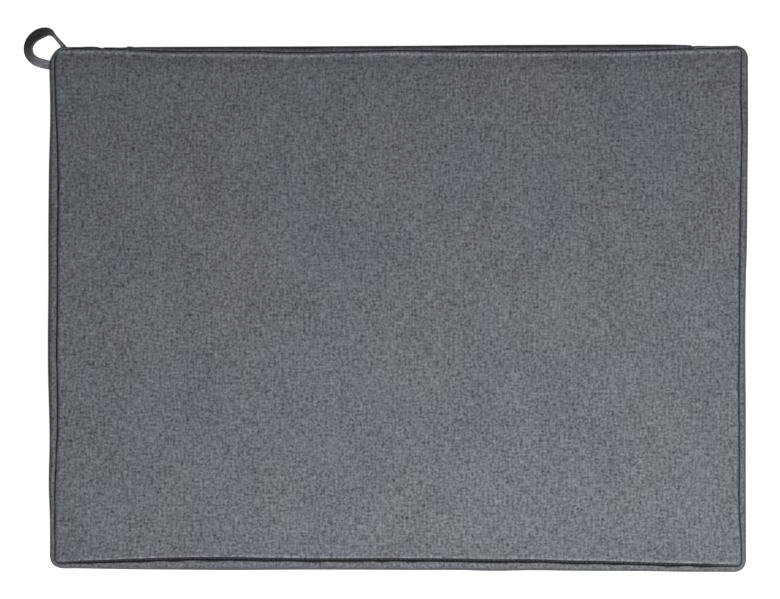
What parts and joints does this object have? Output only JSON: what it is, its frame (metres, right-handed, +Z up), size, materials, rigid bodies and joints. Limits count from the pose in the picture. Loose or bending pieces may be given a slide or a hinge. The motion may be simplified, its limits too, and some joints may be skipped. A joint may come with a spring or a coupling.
{
  "type": "garden kneeling pad",
  "caption": "Flat rectangular kneeling pad: foam slab in a zipped grey woven box cover with a small hanging loop at one corner.",
  "frame": {"origin": "centre of the base's flat face, on the surface the pad lies on", "axes": "+X along the pad's length, +Y towards the rear edge with the zip, +Z up out of the kneeling face"},
  "size_m": [0.415, 0.3108, 0.04],
  "materials": {
    "cover_fabric": "matt melange plain weave",
    "loop_ribbon": "matt folded woven tape",
    "zip_tape": "matt woven polyester tape",
    "zip_nylon": "moulded nylon filament",
    "sewing_thread": "spun polyester thread",
    "dark_zinc": "dark nickel plated zinc",
    "foam": "open-cell polyurethane foam",
    "label_satin": "blank satin label"
  },
  "bodies": {
    "cover": {"top_panel": "cover_fabric", "base_panel": "cover_fabric", "side_band": "cover_fabric", "zip_band_upper": "cover_fabric", "zip_band_lower": "cover_fabric", "foam_core": "foam", "care_label": "label_satin", "top_seam_thread": "sewing_thread", "base_seam_thread": "sewing_thread", "end_seam_thread_left": "sewing_thread", "end_seam_thread_right": "sewing_thread", "zip_stitch_upper": "sewing_thread", "zip_stitch_lower": "sewing_thread", "zip_tape_upper": "zip_tape", "zip_tape_lower": "zip_tape", "zip_coil_upper": "zip_nylon", "zip_coil_lower": "zip_nylon", "zip_top_stop_upper": "dark_zinc", "zip_top_stop_lower": "dark_zinc", "zip_bottom_stop": "dark_zinc"},
    "slider": {"zip_slider": "dark_zinc"},
    "pull_tab": {"zip_pull_tab": "dark_zinc"},
    "hang_loop": {"hang_loop": "loop_ribbon"}
  },
  "joints": [
    {"name": "zip_slide", "type": "slide", "parent": "cover", "child": "slider", "axis": [1, 0, 0], "range_m": [0, 0.2935]},
    {"name": "pull_tab_hinge", "type": "hinge", "parent": "slider", "child": "pull_tab", "pos_m": [-0.1537, 0.14845, 0.02], "axis": [0, 0, 1], "range_deg": [0, 150]},
    {"name": "hang_loop_flex", "type": "hinge", "parent": "cover", "child": "hang_loop", "pos_m": [-0.19395, 0.1429, 0.0365], "axis": [0.5823, 0.813, 0], "range_deg": [-15, 100], "stiffness_Nm_per_rad": 0.0005}
  ]
}
